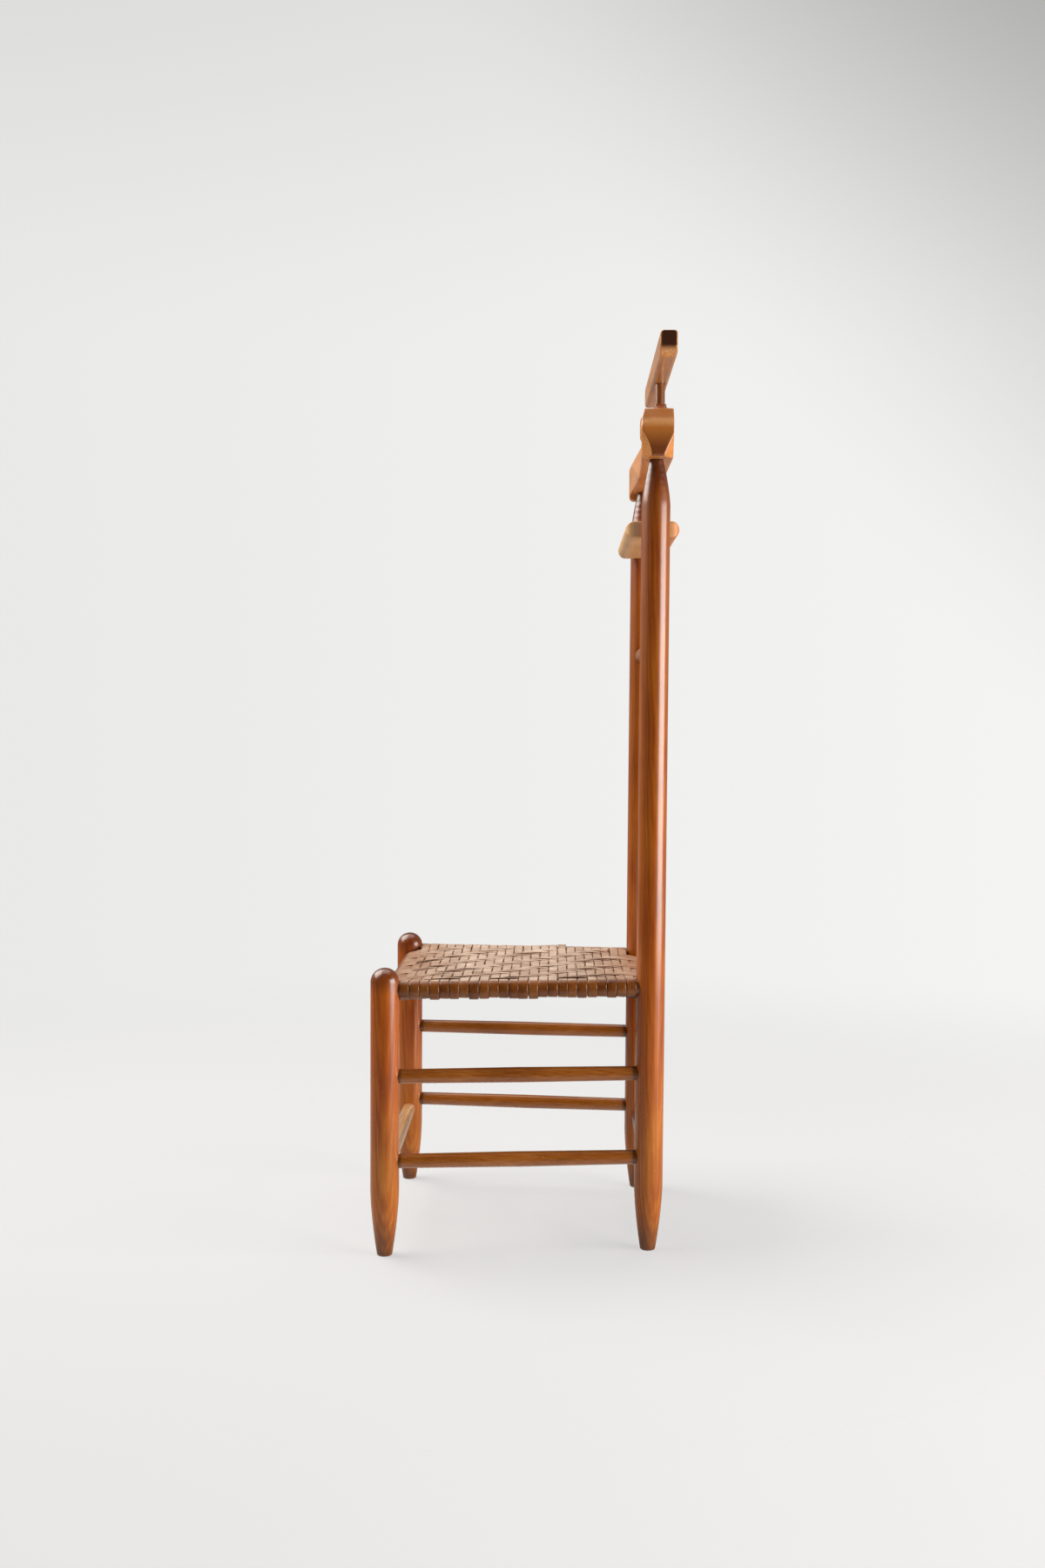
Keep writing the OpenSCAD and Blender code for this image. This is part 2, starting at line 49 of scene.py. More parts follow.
# sRGB hex code to the linear colour that a socket takes
def hexColor(code):
    linear = []
    for i in (0, 2, 4):
        c = int(code[i:i + 2], 16) / 255
        linear.append(c / 12.92 if c <= 0.04045 else ((c + 0.055) / 1.055) ** 2.4)
    return (*linear, 1.0)


# one node with its settings, and its inputs linked or set
def addNode(tree, kind, inputs=None, **settings):
    node = tree.nodes.new(kind)
    for key, value in settings.items():
        setattr(node, key, value)
    for key, value in (inputs or {}).items():
        if isinstance(value, bpy.types.NodeSocket):
            tree.links.new(value, node.inputs[key])
        else:
            node.inputs[key].default_value = value
    return node


def setRamp(node, stops):
    ramp = node.color_ramp
    while len(ramp.elements) > 1:
        ramp.elements.remove(ramp.elements[-1])
    for i, (place, code) in enumerate(stops):
        element = ramp.elements[0] if i == 0 else ramp.elements.new(place)
        element.position = place
        element.color = hexColor(code)
    return node


# a new object, shown in the scene
def addObject(name, data):
    thing = bpy.data.objects.new(name, data)
    bpy.context.scene.collection.objects.link(thing)
    return thing


def newMaterial(name):
    material = bpy.data.materials.new(name)
    material.use_nodes = True
    material.node_tree.nodes.clear()
    return material, material.node_tree


def finishMaterial(tree, shader):
    out = addNode(tree, "ShaderNodeOutputMaterial")
    tree.links.new(shader.outputs[0], out.inputs[0])


# what all the woods here share
grain = {
    # how many times longer than wide each mark is along the grain
    "streakStretch": 45, "cloudStretch": 3, "poreStretch": 22,
    # how much of the tone comes from fine streaks and from broad clouds
    "streakShare": 0.42, "cloudShare": 0.48,
    # where the heart of the tree lies beside a piece in metres, and how it leans, by the grain's direction
    "heart": {"x": (0.0, 0.21, -0.62), "y": (0.4, 0.0, -0.62), "z": (0.75, 0.31, 0.0)},
    "lean": {"x": (0.0, 0.03, 0.05), "y": (0.05, 0.0, 0.03), "z": (0.04, 0.05, 0.0)},
    "waveLength": 0.314,  # metres between rings of a wave texture of scale 1
    "chipMm": (1.6, 4), "chipDepth": 0.5,  # width and length of a chip in the finish, down to bare wood
    "socketShadeDepth": 0.75,  # how dark the painted shade is at a rung's ends
    # blotches of an end: share of its depth, size in streak widths; and metres over which an end starts
    "blotch": 0.06, "blotchSize": 1.4, "endFade": 0.0004,
    "fibreRelief": 0.0002, "poreRelief": -0.6,  # metres, and how far a pore is sunk beside that
}


# shades given at real places: their first and last place, and each place as a share of the way between
def spread(stops):
    low, high = stops[0][0], stops[-1][0]
    return low, high, [((at - low) / (high - low), shade) for at, shade in stops]


# streaks, clouds and growth rings make one tone, with pores and chips laid over its colour
def woodGrain(tree, place, look, along):
    way = "xyz".index(along)
    streak, pore, cloud = (look[size] / 1000 for size in ("streakMm", "poreMm", "cloudMm"))

    def stretched(size, length):
        scale = [1 / size] * 3
        scale[way] = 1 / length
        return addNode(tree, "ShaderNodeMapping", {"Vector": place, "Scale": scale}).outputs[0]

    streaks = addNode(tree, "ShaderNodeTexNoise", {
        "Vector": stretched(streak, streak * grain["streakStretch"]), "Scale": 1.0,
        "Detail": 4.0, "Roughness": 0.55, "Distortion": 0.35})
    clouds = addNode(tree, "ShaderNodeTexNoise", {
        "Vector": stretched(cloud, cloud * grain["cloudStretch"]), "Scale": 1.0,
        "Detail": 3.0, "Roughness": 0.5})
    pores = addNode(tree, "ShaderNodeTexNoise", {
        "Vector": stretched(pore, pore * grain["poreStretch"]), "Scale": 1.0,
        "Detail": 2.0, "Roughness": 0.5})
    # the heart lies beside the piece and leans, so the rings cut its surface in long ovals
    heart = addNode(tree, "ShaderNodeMapping", {
        "Vector": place, "Location": grain["heart"][along], "Rotation": grain["lean"][along]})
    years = addNode(tree, "ShaderNodeTexWave", {
        "Vector": heart.outputs[0], "Scale": grain["waveLength"] / (look["ringMm"] / 1000),
        "Distortion": 4.0, "Detail": 2.0, "Detail Scale": 0.16},
        wave_type="RINGS", rings_direction=along.upper(), wave_profile="SIN")
    tone = addNode(tree, "ShaderNodeMath", {0: streaks.outputs[0], 1: grain["streakShare"]},
                   operation="MULTIPLY")
    for mark, share in ((clouds, grain["cloudShare"]), (years, look["ringDepth"])):
        tone = addNode(tree, "ShaderNodeMath", {0: mark.outputs[0], 1: share, 2: tone.outputs[0]},
                       operation="MULTIPLY_ADD")
    color = setRamp(addNode(tree, "ShaderNodeValToRGB", {0: tone.outputs[0]}),
                    [(0.30, look["dark"]), (0.50, look["middle"]), (0.70, look["light"])]).outputs[0]
    poreMask = addNode(tree, "ShaderNodeMapRange", {
        "Value": pores.outputs[0], "From Min": 0.56, "From Max": 0.70, "To Max": look["poreDepth"]})
    chipWide, chipLong = (size / 1000 for size in grain["chipMm"])
    chips = addNode(tree, "ShaderNodeTexNoise", {
        "Vector": stretched(chipWide, chipLong), "Scale": 1.0, "Detail": 1.0})
    chipMask = addNode(tree, "ShaderNodeMapRange", {
        "Value": chips.outputs[0], "From Min": 0.75, "From Max": 0.80, "To Max": grain["chipDepth"]})
    for mask, code in ((poreMask, look["pore"]), (chipMask, look["wearAndLitTop"])):
        color = addNode(tree, "ShaderNodeMix", {0: mask.outputs[0], 6: color, 7: hexColor(code)},
                        data_type="RGBA").outputs[2]
    return streaks.outputs[0], poreMask.outputs[0], color


# colour multiplied in along one axis: real staining and dirt, and on the posts and the tray also painted
# light and shade
def addStainAndPaintedLight(tree, spot, look, color):
    low, high, stops = spread(look["stainAndPaintedLight"])
    share = addNode(tree, "ShaderNodeMapRange", {
        "Value": spot.outputs["xyz".index(look["stainAndPaintedLightAxis"])], "From Min": low, "From Max": high})
    stainAndPaintedLight = setRamp(addNode(tree, "ShaderNodeValToRGB", {0: share.outputs[0]}), stops)
    return addNode(tree, "ShaderNodeMix", {0: 1.0, 6: color, 7: stainAndPaintedLight.outputs[0]},
                   data_type="RGBA", blend_type="MULTIPLY").outputs[2]


# painted shade where a rung enters its posts
def paintSocketShade(tree, length, look, color):
    low, high, fade = look["socketShade"]
    reach = (high - low) / 2
    away = addNode(tree, "ShaderNodeMath", {0: length, 1: (low + high) / 2}, operation="SUBTRACT")
    away = addNode(tree, "ShaderNodeMath", {0: away.outputs[0]}, operation="ABSOLUTE")
    socketShadeAmount = addNode(tree, "ShaderNodeMapRange", {
        "Value": away.outputs[0], "From Min": reach - fade, "From Max": reach,
        "To Max": grain["socketShadeDepth"]}, interpolation_type="SMOOTHSTEP")
    return addNode(tree, "ShaderNodeMix", {0: socketShadeAmount.outputs[0], 6: color, 7: hexColor(look["pore"])},
                   data_type="RGBA").outputs[2]


# sawn ends come out darker than the faces beside them when stained; the tones given for each piece's ends
# also hold painted light and shade
def addEndGrainAndPaintedLight(tree, place, spot, look, way, color):
    surface = addNode(tree, "ShaderNodeNewGeometry").outputs["Normal"]
    surface = addNode(tree, "ShaderNodeSeparateXYZ", {0: surface})
    facing = addNode(tree, "ShaderNodeMath", {0: surface.outputs[way]}, operation="ABSOLUTE")
    # what faces the front or rear isn't a sawn end
    sideways = addNode(tree, "ShaderNodeMath", {0: surface.outputs[1]}, operation="ABSOLUTE")
    facing = addNode(tree, "ShaderNodeMath", {0: sideways.outputs[0], 1: -0.8, 2: facing.outputs[0]},
                     operation="MULTIPLY_ADD")
    endOn = addNode(tree, "ShaderNodeMapRange", {
        "Value": facing.outputs[0], "From Min": look["endFrom"], "From Max": look["endTo"]})
    outer = addNode(tree, "ShaderNodeMath", {0: spot.outputs[way]}, operation="ABSOLUTE")
    beyond = addNode(tree, "ShaderNodeMapRange", {
        "Value": outer.outputs[0],
        "From Min": look["endSpan"] - grain["endFade"], "From Max": look["endSpan"] + grain["endFade"]})
    amount = addNode(tree, "ShaderNodeMath", {0: endOn.outputs[0], 1: beyond.outputs[0]},
                     operation="MULTIPLY")
    blotches = addNode(tree, "ShaderNodeTexNoise", {
        "Vector": place, "Scale": 1 / (look["streakMm"] / 1000 * grain["blotchSize"]),
        "Detail": 3.0, "Roughness": 0.5})
    low, high, stops = spread(look["endGrainAndPaintedLight"])
    depth = addNode(tree, "ShaderNodeMapRange", {
        "Value": spot.outputs["xyz".index(look["endAxis"])], "From Min": low, "From Max": high})
    depth = addNode(tree, "ShaderNodeMath", {
        0: blotches.outputs[0], 1: grain["blotch"], 2: depth.outputs[0]}, operation="MULTIPLY_ADD")
    depth = addNode(tree, "ShaderNodeMath", {0: depth.outputs[0], 1: grain["blotch"] / 2},
                    operation="SUBTRACT")
    stops = [(share, look[tone]) for share, tone in stops]
    ends = setRamp(addNode(tree, "ShaderNodeValToRGB", {0: depth.outputs[0]}), stops)
    return addNode(tree, "ShaderNodeMix", {0: amount.outputs[0], 6: color, 7: ends.outputs[0]},
                   data_type="RGBA").outputs[2]


# shallow rings that a turner's gouge left, strongest on the neck of the right rear post
def addGougeRings(tree, place, spot, look, normal):
    low, high, pitch, depth = look["tool"]
    # the rings waver by some 3 mm either way, in patches of 17 mm
    wobble = addNode(tree, "ShaderNodeTexNoise", {"Vector": place, "Scale": 60.0, "Detail": 1.0})
    turn = addNode(tree, "ShaderNodeMath", {0: wobble.outputs[0], 1: 0.006, 2: spot.outputs[2]},
                   operation="MULTIPLY_ADD")
    turn = addNode(tree, "ShaderNodeMath", {0: turn.outputs[0], 1: 2 * math.pi / pitch},
                   operation="MULTIPLY")
    turn = addNode(tree, "ShaderNodeMath", {0: turn.outputs[0]}, operation="SINE")
    near = addNode(tree, "ShaderNodeMapRange", {
        "Value": spot.outputs[2], "From Min": low, "From Max": high, "To Min": 0.04, "To Max": 1.0})
    hand = addNode(tree, "ShaderNodeMapRange", {
        "Value": spot.outputs[0], "From Min": -0.05, "From Max": 0.05, "To Min": 1.0, "To Max": 0.25})
    for share in (near, hand):
        turn = addNode(tree, "ShaderNodeMath", {0: turn.outputs[0], 1: share.outputs[0]},
                       operation="MULTIPLY")
    return addNode(tree, "ShaderNodeBump", {
        "Height": turn.outputs[0], "Strength": 0.6, "Distance": depth, "Normal": normal}).outputs[0]


# stained hardwood, turned or planed, rubbed with oil: a warm orange brown with
# long grain, fine dark pores and a thin clear shine over the fibres
def hardwood(name, look, along):
    material, tree = newMaterial(name)
    place = addNode(tree, "ShaderNodeTexCoord").outputs["Object"]
    spot = addNode(tree, "ShaderNodeSeparateXYZ", {0: place})
    way = "xyz".index(along)
    streaks, pores, color = woodGrain(tree, place, look, along)
    if look.get("stainAndPaintedLight"):
        color = addStainAndPaintedLight(tree, spot, look, color)
    if look.get("socketShade"):
        color = paintSocketShade(tree, spot.outputs[way], look, color)
    if look.get("endGrainAndPaintedLight"):
        color = addEndGrainAndPaintedLight(tree, place, spot, look, way, color)
    rough = addNode(tree, "ShaderNodeMapRange", {
        "Value": streaks, "From Min": 0.3, "From Max": 0.7,
        "To Min": look["roughness"] - 0.05, "To Max": look["roughness"] + 0.07})
    relief = addNode(tree, "ShaderNodeMath", {0: pores, 1: grain["poreRelief"], 2: streaks},
                     operation="MULTIPLY_ADD")
    normal = addNode(tree, "ShaderNodeBump", {
        "Height": relief.outputs[0], "Strength": 0.3, "Distance": grain["fibreRelief"]}).outputs[0]
    if look.get("tool"):
        normal = addGougeRings(tree, place, spot, look, normal)
    shader = addNode(tree, "ShaderNodeBsdfPrincipled", {
        "Base Color": color, "Roughness": rough.outputs[0], "Normal": normal, "IOR": 1.46,
        "Coat Weight": look["coat"], "Coat Roughness": look["coatRoughness"], "Coat IOR": look["coatIor"]})
    finishMaterial(tree, shader)
    return material


postWood = {
    "dark": "96480A", "middle": "BE6C14", "light": "D88A30", "pore": "40200A", "wearAndLitTop": "F0D8B8",
    "streakMm": 2.6, "poreMm": 0.55, "cloudMm": 40, "ringMm": 4.5, "ringDepth": 0.10, "poreDepth": 0.22,
    "roughness": 0.34, "coat": 0.6, "coatRoughness": 0.2, "coatIor": 1.62,
    # gouge rings, in metres: heights where they start and are deepest, their pitch and depth
    "tool": (1.165, 1.225, 0.0105, 0.0007),
    # height in metres and the colour multiplied in there: dirt at the feet; the paler legs above it are
    # painted light, the darker necks painted shade
    "stainAndPaintedLightAxis": "z",
    "stainAndPaintedLight": [(0.0, "A8A49C"), (0.03, "D0C8BC"), (0.06, "FFF4E8"), (0.17, "FFF4E8"), (0.30, "F4D68E"),
              (0.45, "EACE88"), (0.95, "DAC680"), (1.10, "D2B674"), (1.19, "B49A64"), (1.23, "7C644C"),
              (1.45, "7C644C")],
}
# the front posts are darkest on their domes, where hands have held them; their legs below are kept paler
# still, which is painted light
frontPostWood = dict(postWood, stainAndPaintedLight=[
    *postWood["stainAndPaintedLight"][:4], (0.25, "FFE2A0"), (0.41, "FFDE8E"), (0.436, "B4986A"), (0.45, "8C7654")])
# the rungs are smoother, with quieter rings
rungWood = dict(postWood, dark="7E420C", middle="A25C18", light="B87434", ringDepth=0.04, roughness=0.30,
                coatIor=1.5, tool=None, stainAndPaintedLight=None)
# those at the sides get painted shade where they enter the posts: rear and front end, and fade, in metres
sideRungWood = dict(rungWood, socketShade=(-0.1945, 0.1725, 0.006))
# the front one is paler all round: partly wear from feet, partly painted light for the light that falls on
# it from the front
frontRungWood = dict(rungWood, dark="A87440", middle="C89C6C", light="DDB88C")
dowelLook = dict(rungWood, dark="5C2E0A", middle="82460F", light="A05C20")
# end grain: place along one axis in metres and which of the wood's tones shows there. On the bar the ends
# turn to the dark pore tone towards their top, which is painted shade
barWood = dict(rungWood, dark="A8642C", middle="CC8A4C", light="E6B07A", roughness=0.36,
               endGrainAndPaintedLight=[(1.397, "middle"), (1.411, "pore"), (1.433, "pore")],
               endAxis="z", endFrom=0.8, endTo=0.97, endSpan=0.2)
# the yoke's ends carry painted shade on the keel and a painted highlight in the light band along the ridge,
# and its crown is stained darker
yokeWood = dict(rungWood, dark="C07430", middle="D98C46", light="E6A568", pore="7A3E14", roughness=0.38,
                endGrainAndPaintedLight=[(1.240, "pore"), (1.256, "pore"), (1.285, "dark"), (1.2945, "light"),
                          (1.303, "dark"), (1.318, "dark")],
                endAxis="z", endFrom=0.3, endTo=0.45, endSpan=0.205, stainAndPaintedLightAxis="z",
                stainAndPaintedLight=[(1.229, "FFFFFF"), (1.325, "FFFFFF"), (1.34, "B89878"), (1.358, "A07C60")])
# the tray is the palest piece. Its pale colour is partly painted light, for the light from below and on the
# end that the near post shades, and the warmer tone towards its rear is painted light from the lamp behind
trayWood = dict(rungWood, dark="CF9C66", middle="E8B780", light="F0CBA0", roughness=0.42, coat=0.1,
                stainAndPaintedLight=[(0.155, "FFFFFF"), (0.20, "FFF4E8"), (0.225, "F4C8A0"), (0.24, "E8B890")],
                stainAndPaintedLightAxis="y", endGrainAndPaintedLight=[(0.165, "light"), (0.205, "middle"), (0.235, "dark")],
                endAxis="y", endFrom=0.6, endTo=0.9, endSpan=0.0)

turned = hardwood("Stained hardwood, turned and oiled", postWood, "z")
turnedFrontPost = hardwood("Stained hardwood, turned, dark where it is held", frontPostWood, "z")
turnedSide = hardwood("Stained hardwood rung, grain front to rear", sideRungWood, "y")
turnedCross = hardwood("Stained hardwood rung, grain side to side", rungWood, "x")
turnedFront = hardwood("Pale stained hardwood rung, grain side to side", frontRungWood, "x")
carved = hardwood("Stained hardwood, carved and oiled", yokeWood, "x")
planed = hardwood("Stained hardwood bar, planed and rounded", barWood, "x")
trayBoard = hardwood("Pale hardwood board, planed", trayWood, "x")
dowelWood = hardwood("Dark stained hardwood dowel", dowelLook, "z")
print("woods made")


# solid pieces: each keeps its own shape and takes its wood. The posts get broken edges, and the
# carved and planed pieces are gone over with a spokeshave, which rounds every arris a little
pieceFinish = {
    "front_post_left": (turnedFrontPost, "broken"),
    "front_post_right": (turnedFrontPost, "broken"),
    "rear_post_left": (turned, "broken"),
    "rear_post_right": (turned, "broken"),
    "upper_stretcher_left": (turnedSide, None),
    "upper_stretcher_right": (turnedSide, None),
    "lower_stretcher_left": (turnedSide, None),
    "lower_stretcher_right": (turnedSide, None),
    "front_stretcher": (turnedFront, None),
    "rear_stretcher": (turnedCross, None),
    "seat_rail_front": (turnedCross, None),
    "seat_rail_rear": (turnedCross, None),
    "seat_rail_left": (turnedSide, None),
    "seat_rail_right": (turnedSide, None),
    "trouser_rail": (turnedCross, None),
    "tray": (trayBoard, "shaved"),
    "yoke": (carved, "shaved"),
    "bar_dowel": (dowelWood, None),
    "hanger_bar": (planed, "shaved"),
}
edges = {
    "broken": 0.0008, "brokenFrom": 28,  # metres taken off, and degrees from which an edge is broken
    "grid": 0.0013, "softness": 0.5, "passes": 4,  # metres, share and number of smoothing passes
}


def breakEdges(piece):
    weld = piece.modifiers.new("weld", "WELD")
    weld.merge_threshold = 0.00001
    bevel = piece.modifiers.new("brokenEdges", "BEVEL")
    bevel.width = edges["broken"]
    bevel.segments = 2
    bevel.limit_method = "ANGLE"
    bevel.angle_limit = math.radians(edges["brokenFrom"])
    bevel.harden_normals = True


def shaveEdges(piece):
    grid = piece.modifiers.new("evenGrid", "REMESH")
    grid.mode = "VOXEL"
    grid.voxel_size = edges["grid"]
    grid.use_smooth_shade = True
    soft = piece.modifiers.new("shavedEdges", "SMOOTH")
    soft.factor = edges["softness"]
    soft.iterations = edges["passes"]


for name, (material, edgeKind) in pieceFinish.items():
    piece = nodes[name]
    piece.data.materials.clear()
    piece.data.materials.append(material)
    if edgeKind == "broken":
        breakEdges(piece)
    if edgeKind == "shaved":
        shaveEdges(piece)
print("wooden pieces finished:", len(pieceFinish))


# woven seat: flat strips of hide wound round the four rails, three over and three under. Every
# size here is in metres
seat = {
    "weftCount": 24, "warpCount": 26,  # strips from side to side, and from front to rear
    "over": 3,  # strips that one passes over before it dives under as many
    "railInset": 0.007,  # how far the front and rear rail stand inside the line of the posts
    "level": 0.0133,  # from a rail's axis to the middle of a strip that lies on it
    "thick": 0.0015, "gap": 0.0008, "clear": 0.0003,  # of a strip, between strips, beside the posts
    # how far a float rises over the middle level, and reaches past its last crossing, in pitches
    "lift": 0.0010, "dive": 0.38,
    # how far before a rear post, or before the winding of a side rail, a short strip ends
    "postRoom": 0.006, "railRoom": 0.0016,
    # saddle: share of the half seat that stays flat, how it steepens, and where strips leave their rail
    "flat": 0.55, "steepness": 1.5, "settle": 0.016,
    # hand work: each strip's own bow, lean, lean of the ones from front to rear, wander, bulge and tip
    "bow": 0.0010, "tilt": 0.0006, "blade": 0.0006, "wander": 0.0004, "bulge": 0.0009, "tip": 0.0008,
    "cup": 0.00018,  # how far a strip's edges curl towards its rail
    # radians per metre of the wander and of the uneven width, and that width's share
    "wanderTurns": 23, "widthTurns": 61, "widthShare": 0.018,
    "droops": (0.0004, 0.0008, 0.0014, 0.0022, 0.003),  # how far near ends hang under their rail
    "humps": {13: 0.0008, 14: 0.0014, 15: 0.0022, 16: 0.0032},  # strips whose far end stands off its rail
    "looseReach": 0.03,  # from the rail, where a hanging or standing end lies flat again
    "turnSteps": 16, "seam": 0.005,  # steps of a half turn, and length of a loop's closing step
    "seed": 7,
}


# a piece's middle in the frame, to a tenth of a millimetre
def middle(name):
    low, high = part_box(name)
    return [round((a + b) / 2, 4) for a, b in zip(low, high)]


sideZ, crossZ = middle("seat_rail_left")[2], middle("seat_rail_front")[2]
frontRail, rearRail = middle("seat_rail_front")[1], middle("seat_rail_rear")[1]
frontHalf, rearHalf = middle("front_post_left")[0], middle("rear_post_left")[0]
postLow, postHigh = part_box("front_post_left")
postRadius = round((postHigh.x - postLow.x) / 2, 4)
frontY, rearY = frontRail - seat["railInset"], rearRail + seat["railInset"]
splay = (frontHalf - rearHalf) / (rearY - frontY)
weftStart = frontY + postRadius + seat["clear"]
weftPitch = (rearY - postRadius - seat["clear"] - weftStart) / seat["weftCount"]
warpPitch = 2 * (frontHalf - postRadius - seat["clear"]) / seat["warpCount"]
seatRandom = random.Random(seat["seed"])


# tone of a strip: fine fibres along it, soft clouds and a shade of its own
def stripTone(tree, place, spot, fibres, look, across):
    clouds = addNode(tree, "ShaderNodeTexNoise", {
        "Vector": place, "Scale": 1000 / look["cloudMm"], "Detail": 3.0, "Roughness": 0.55})
    index = addNode(tree, "ShaderNodeMath", {
        0: spot.outputs["xyz".index(across)], 1: look["perMetre"][across], 2: look["start"][across]},
        operation="MULTIPLY_ADD")
    index = addNode(tree, "ShaderNodeMath", {0: index.outputs[0]}, operation="FLOOR")
    own = addNode(tree, "ShaderNodeTexWhiteNoise", {"W": index.outputs[0]}, noise_dimensions="1D")
    tone = addNode(tree, "ShaderNodeMath", {0: fibres, 1: look["fibreShare"]}, operation="MULTIPLY")
    for mark, share in ((clouds, look["cloudShare"]), (own, look["ownShare"])):
        tone = addNode(tree, "ShaderNodeMath", {0: mark.outputs[0], 1: share, 2: tone.outputs[0]},
                       operation="MULTIPLY_ADD")
    return tone.outputs[0]


# how far the top's painted light gives way to a darker brown: along the front and rear of the seat, in
# ragged patches
def frontRearShare(tree, place, spot, look):
    away = addNode(tree, "ShaderNodeMath", {0: spot.outputs[1], 1: look["middleY"]}, operation="SUBTRACT")
    away = addNode(tree, "ShaderNodeMath", {0: away.outputs[0]}, operation="ABSOLUTE")
    patches = addNode(tree, "ShaderNodeTexNoise", {
        "Vector": place, "Scale": 1000 / look["frontRearMm"], "Detail": 3.0, "Roughness": 0.6})
    away = addNode(tree, "ShaderNodeMath", {0: patches.outputs[0], 1: look["ragged"], 2: away.outputs[0]},
                   operation="MULTIPLY_ADD")
    return addNode(tree, "ShaderNodeMapRange", {
        "Value": away.outputs[0], "From Min": look["frontRearFrom"], "From Max": look["frontRearTo"],
        "To Max": look["frontRearDarker"]}).outputs[0]


# painted highlight along a strip's corners: in patches, and most on top of the seat
def rimShare(tree, place, fromMiddle, wearAndLitTop, look):
    patches = addNode(tree, "ShaderNodeTexNoise", {
        "Vector": place, "Scale": 1000 / look["rimMm"], "Detail": 1.0})
    patches = addNode(tree, "ShaderNodeMapRange", {
        "Value": patches.outputs[0], "From Min": 0.45, "From Max": 0.6, "To Max": look["rim"]})
    onTop = addNode(tree, "ShaderNodeMapRange", {"Value": wearAndLitTop, "To Min": 0.35, "To Max": 1.0})
    start, full = look["rimBand"]
    rim = addNode(tree, "ShaderNodeMapRange", {"Value": fromMiddle, "From Min": start, "From Max": full})
    for share in (patches, onTop):
        rim = addNode(tree, "ShaderNodeMath", {0: rim.outputs[0], 1: share.outputs[0]},
                      operation="MULTIPLY")
    return rim.outputs[0]


# hide strip: smooth and glossy where it turns round the rails, a dull pinkish tan on top from
# painted light and sheen, darker on its sides from painted shade, with dark cut sides and a thin
# pale line of painted highlight along its corners
def stripHide(name, look, across):
    material, tree = newMaterial(name)
    coords = addNode(tree, "ShaderNodeTexCoord")
    place = coords.outputs["Object"]
    spot = addNode(tree, "ShaderNodeSeparateXYZ", {0: place})
    fibres = addNode(tree, "ShaderNodeMapping", {
        "Vector": coords.outputs["UV"], "Scale": (1000 / look["fibreMm"], look["fibresAcross"], 1)})
    fibres = addNode(tree, "ShaderNodeTexNoise", {
        "Vector": fibres.outputs[0], "Scale": 1.0, "Detail": 4.0, "Roughness": 0.6}).outputs[0]
    tone = stripTone(tree, place, spot, fibres, look, across)
    top, side = (
        setRamp(addNode(tree, "ShaderNodeValToRGB", {0: tone}),
                [(0.36, look[face + "Dark"]), (0.5, look[face]), (0.64, look[face + "Light"])]).outputs[0]
        for face in ("top", "side"))
    # what faces up takes the top colours, painted light and sheen; the rest takes the side colours, painted
    # shade
    facing = addNode(tree, "ShaderNodeNewGeometry").outputs["Normal"]
    facing = addNode(tree, "ShaderNodeSeparateXYZ", {0: facing})
    wearAndLitTop = addNode(tree, "ShaderNodeMapRange", {
        "Value": facing.outputs[2], "From Min": look["litTopFrom"], "From Max": look["litTopTo"]}).outputs[0]
    frontRearDarker = frontRearShare(tree, place, spot, look)
    shade = addNode(tree, "ShaderNodeMix", {0: frontRearDarker, 6: top, 7: hexColor(look["frontRearBrown"])},
                    data_type="RGBA").outputs[2]
    shade = addNode(tree, "ShaderNodeMix", {0: wearAndLitTop, 6: side, 7: shade}, data_type="RGBA").outputs[2]
    width = addNode(tree, "ShaderNodeSeparateXYZ", {0: coords.outputs["UV"]})
    fromMiddle = addNode(tree, "ShaderNodeMath", {0: width.outputs[1], 1: 0.5}, operation="SUBTRACT")
    fromMiddle = addNode(tree, "ShaderNodeMath", {0: fromMiddle.outputs[0]},
                         operation="ABSOLUTE").outputs[0]
    rim = rimShare(tree, place, fromMiddle, wearAndLitTop, look)
    start, full = look["cutBand"]
    cut = addNode(tree, "ShaderNodeMapRange", {
        "Value": fromMiddle, "From Min": start, "From Max": full}).outputs[0]
    for share, code in ((rim, look["edge"]), (cut, look["cut"])):
        shade = addNode(tree, "ShaderNodeMix", {0: share, 6: shade, 7: hexColor(code)},
                        data_type="RGBA").outputs[2]
    rough = addNode(tree, "ShaderNodeMapRange", {
        "Value": wearAndLitTop, "To Min": look["roughSide"], "To Max": look["roughTop"]})
    bump = addNode(tree, "ShaderNodeBump", {"Height": fibres, "Strength": 0.5, "Distance": look["relief"]})
    shader = addNode(tree, "ShaderNodeBsdfPrincipled", {
        "Base Color": shade, "Roughness": rough.outputs[0], "Normal": bump.outputs[0], "IOR": 1.5})
    finishMaterial(tree, shader)
    return material


